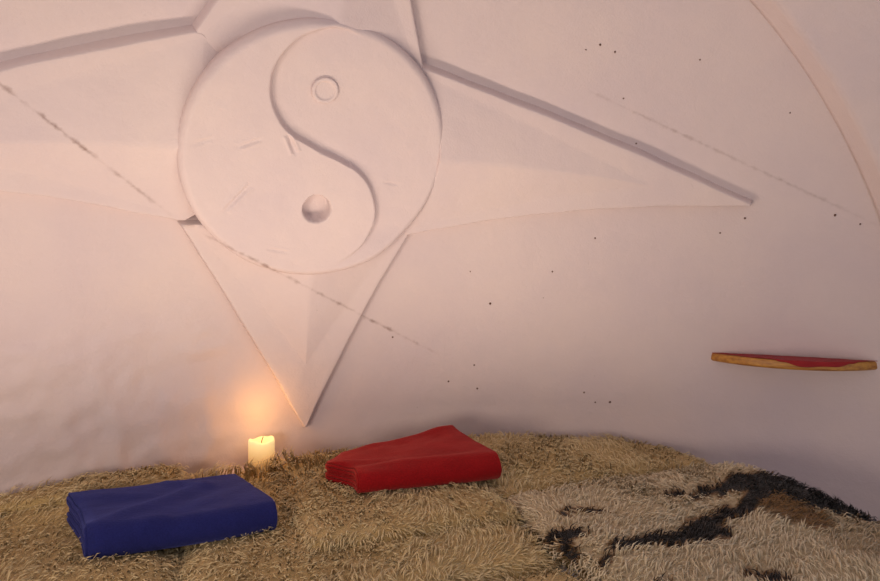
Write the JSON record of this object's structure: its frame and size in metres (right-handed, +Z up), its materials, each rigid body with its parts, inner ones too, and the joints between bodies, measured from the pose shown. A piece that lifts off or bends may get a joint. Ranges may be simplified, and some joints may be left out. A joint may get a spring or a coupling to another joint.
{
  "type": "igloo sleeping alcove",
  "caption": "Sleeping alcove of an igloo: arched snow niche with a raised star and round sign on its wall, a snow bench bed with sheepskins, folded blankets, a candle and a shelf.",
  "frame": {"origin": "on the floor, in the middle of the footprint; the dome's upright centre line is 1.7 m in front of it, at Y = -1.7", "axes": "+Y runs from the open front into the alcove, +X to the right as seen from the front, +Z up"},
  "size_m": [5.4442, 2.3998, 3.1221],
  "materials": {
    "snow": "matte packed snow",
    "sheepskin": "long cream wool",
    "patched_sheepskin": "long white wool with dark brown patches",
    "blue_fleece": "napped fleece",
    "red_fleece": "napped fleece",
    "wax": "satin wax",
    "wick": "charred cotton",
    "pine": "oiled",
    "red_cotton": "plain weave"
  },
  "bodies": {
    "root": {"wall_far_left": "snow", "wall_left": "snow", "wall_middle": "snow", "wall_right": "snow", "wall_far_right": "snow", "arch_left_foot": "snow", "arch_left_haunch": "snow", "arch_crown": "snow", "arch_right_haunch": "snow", "arch_right_foot": "snow", "star_arm_down": "snow", "star_arm_right": "snow", "star_arm_upper_right": "snow", "star_arm_upper_left": "snow", "star_arm_left": "snow", "sign_disc": "snow", "sign_boss": "snow", "bench_left": "snow", "bench_middle": "snow", "bench_right": "snow", "candle_ledge": "snow", "hide_rear_left": "sheepskin", "hide_rear_middle": "sheepskin", "hide_rear_right": "sheepskin", "hide_front_left": "sheepskin", "hide_front_middle": "sheepskin", "hide_front_right": "sheepskin", "hide_top_left": "sheepskin", "hide_top_middle": "sheepskin", "hide_top_right": "sheepskin", "hide_top_patched": "patched_sheepskin", "blanket_blue": "blue_fleece", "blanket_red": "red_fleece", "candle_wax": "wax", "candle_wick": "wick", "shelf_board": "pine", "shelf_cloth": "red_cotton"}
  },
  "joints": []
}
